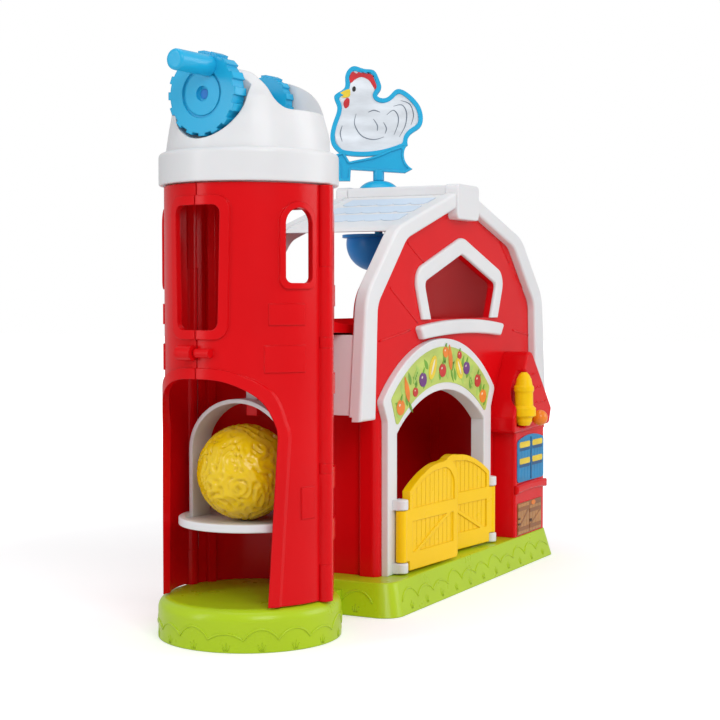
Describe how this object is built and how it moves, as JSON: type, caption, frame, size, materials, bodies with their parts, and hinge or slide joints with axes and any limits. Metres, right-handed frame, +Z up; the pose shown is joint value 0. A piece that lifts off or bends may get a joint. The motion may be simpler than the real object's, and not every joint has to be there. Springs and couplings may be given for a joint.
{
  "type": "toy barn with opening doors",
  "caption": "toy barn with opening doors and a silo beside it: a crank raises a platform with a hay ball, which rolls through the loft; hen weathervane on the ridge",
  "frame": {"origin": "centre of the barn base on its flat underside, where the toy stands", "axes": "+X from the silo towards the stable, along the front; +Y from the front to the back; +Z up"},
  "size_m": [0.476, 0.1388, 0.3835],
  "materials": {
    "green_plastic": "smooth moulded, semi-gloss",
    "red_plastic": "smooth moulded, glossy",
    "white_plastic": "smooth moulded, semi-gloss",
    "yellow_plastic": "smooth moulded, semi-gloss",
    "blue_plastic": "smooth moulded, glossy",
    "orange_plastic": "smooth moulded, glossy",
    "vegetable_label": "printed paper label under film",
    "shutter_print": "printed sticker",
    "door_print": "printed sticker",
    "hen_print": "printed film on a recessed face",
    "steel": "plain steel rod and screws",
    "dark_plastic": "fine grain",
    "circuit_board": "solder mask",
    "battery_wrap": "shrink sleeve",
    "cord": "twisted cord"
  },
  "bodies": {
    "toy": {"arch_label": "vegetable_label", "back_wall": "red_plastic", "barn_base": "green_plastic", "barn_base_cover": "green_plastic", "base_bridge": "green_plastic", "base_screws": "steel", "batteries": "battery_wrap", "battery_box": "dark_plastic", "chute": "red_plastic", "circuit_board": "circuit_board", "corn_pin": "red_plastic", "door_arch": "white_plastic", "door_hinge_pins": "steel", "front_wall": "red_plastic", "gable_trim_front": "white_plastic", "gable_trim_rear": "white_plastic", "ground_ramp": "red_plastic", "hoist_bearer": "white_plastic", "left_wall": "red_plastic", "lift_guide_rails": "red_plastic", "loft_backboard": "red_plastic", "loft_floor": "red_plastic", "loft_sill": "white_plastic", "loft_window_frame": "white_plastic", "ridge_cap": "white_plastic", "right_wall": "red_plastic", "roof_left": "white_plastic", "roof_right": "white_plastic", "roof_top": "white_plastic", "silo_back_shell": "red_plastic", "silo_base": "green_plastic", "silo_base_cover": "green_plastic", "silo_cap": "white_plastic", "silo_hinge_pins": "steel", "speaker": "dark_plastic", "stable_body": "red_plastic", "stable_doors": "door_print", "stable_roof": "red_plastic", "stable_window": "shutter_print", "vane_boss": "blue_plastic"},
    "left_door": {"barn_door_left": "yellow_plastic"},
    "right_door": {"barn_door_right": "yellow_plastic"},
    "silo_leaf_left": {"silo_door_left": "red_plastic"},
    "silo_leaf_right": {"silo_door_right": "red_plastic"},
    "crank": {"crank_wheel": "blue_plastic", "crank_handle": "blue_plastic", "crank_axle": "blue_plastic", "hoist_wheel": "blue_plastic", "hoist_drum": "blue_plastic"},
    "lift": {"lift_car": "white_plastic", "lift_bail": "white_plastic", "cord_clip": "red_plastic", "hoist_cord": "cord"},
    "ball": {"hay_ball": "yellow_plastic"},
    "corn": {"corn_roller": "yellow_plastic"},
    "button": {"knob": "orange_plastic"},
    "vane": {"vane_arrow": "blue_plastic", "hen_plate": "blue_plastic", "hen_faces": "hen_print", "vane_bowl": "blue_plastic"}
  },
  "joints": [
    {"name": "left_door_hinge", "type": "hinge", "parent": "toy", "child": "left_door", "pos_m": [-0.11, -0.0487, 0.05], "axis": [0, 0, -1], "range_deg": [-4, 94]},
    {"name": "right_door_hinge", "type": "hinge", "parent": "toy", "child": "right_door", "pos_m": [0.045, -0.0487, 0.05], "axis": [0, 0, 1], "range_deg": [0, 100]},
    {"name": "silo_left_hinge", "type": "hinge", "parent": "toy", "child": "silo_leaf_left", "pos_m": [-0.21548, 0.05153, 0.15], "axis": [0, 0, -1], "range_deg": [0, 110]},
    {"name": "silo_right_hinge", "type": "hinge", "parent": "toy", "child": "silo_leaf_right", "pos_m": [-0.22458, -0.05249, 0.15], "axis": [0, 0, 1], "range_deg": [0, 110]},
    {"name": "crank_turn", "type": "hinge", "parent": "toy", "child": "crank", "pos_m": [-0.2255, 0, 0.33], "axis": [-0.9962, 0.0872, 0], "range_deg": [-360, 980]},
    {"name": "lift_slide", "type": "slide", "parent": "toy", "child": "lift", "axis": [0, 0, 1], "range_m": [-0.042, 0.1145], "deforming": ["hoist_cord"]},
    {"name": "ball_lift", "type": "slide", "parent": "lift", "child": "ball", "axis": [0, 0, 1], "range_m": [0, 0.004]},
    {"name": "corn_spin", "type": "hinge", "parent": "toy", "child": "corn", "pos_m": [0.0795, -0.0625, 0.13], "axis": [0, 0, 1], "continuous": true},
    {"name": "button_press", "type": "slide", "parent": "toy", "child": "button", "axis": [0, 1, 0], "range_m": [0, 0.003], "stiffness_N_per_m": 300, "springref_m": -0.001},
    {"name": "vane_turn", "type": "hinge", "parent": "toy", "child": "vane", "pos_m": [0.0035, 0.026, 0.3], "axis": [0, 0, 1], "continuous": true}
  ],
  "couplings": [
    {"joint": "crank_turn", "follows": "lift_slide", "rad_per_m": 149.25}
  ]
}
